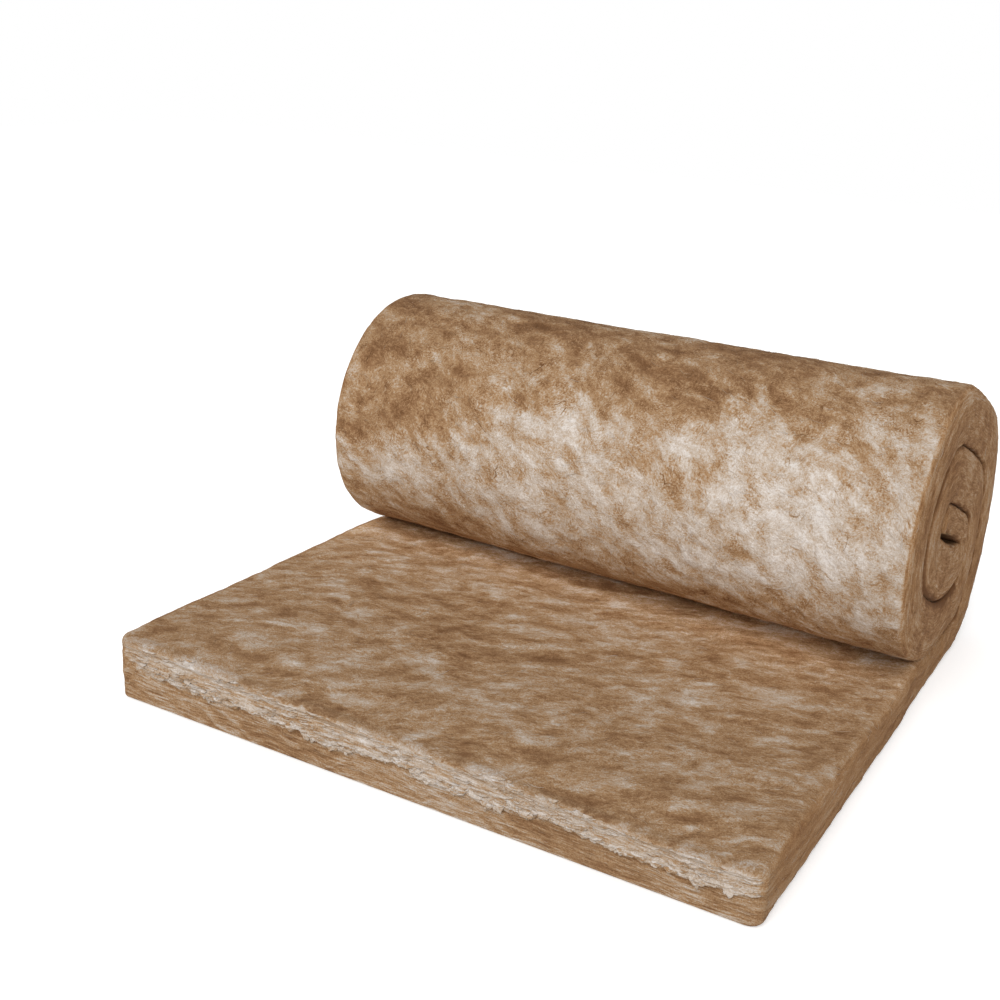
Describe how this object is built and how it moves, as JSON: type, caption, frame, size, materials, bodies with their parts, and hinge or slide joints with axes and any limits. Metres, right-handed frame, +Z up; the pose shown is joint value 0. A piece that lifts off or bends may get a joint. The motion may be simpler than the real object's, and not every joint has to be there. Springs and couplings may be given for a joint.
{
  "type": "insulation roll",
  "caption": "Part-unrolled roll of glass wool insulation blanket: the free end lies flat, the rest is wound up in a low, settled roll.",
  "frame": {"origin": "middle of the footprint, on the floor", "axes": "+X across the blanket, along the roll's winding axis; +Y from the flat free end towards the roll; +Z up"},
  "size_m": [1.2, 1.3468, 0.6189],
  "materials": {
    "wool": "matt, fibrous"
  },
  "bodies": {
    "root": {"wool_blanket": "wool"}
  },
  "joints": []
}
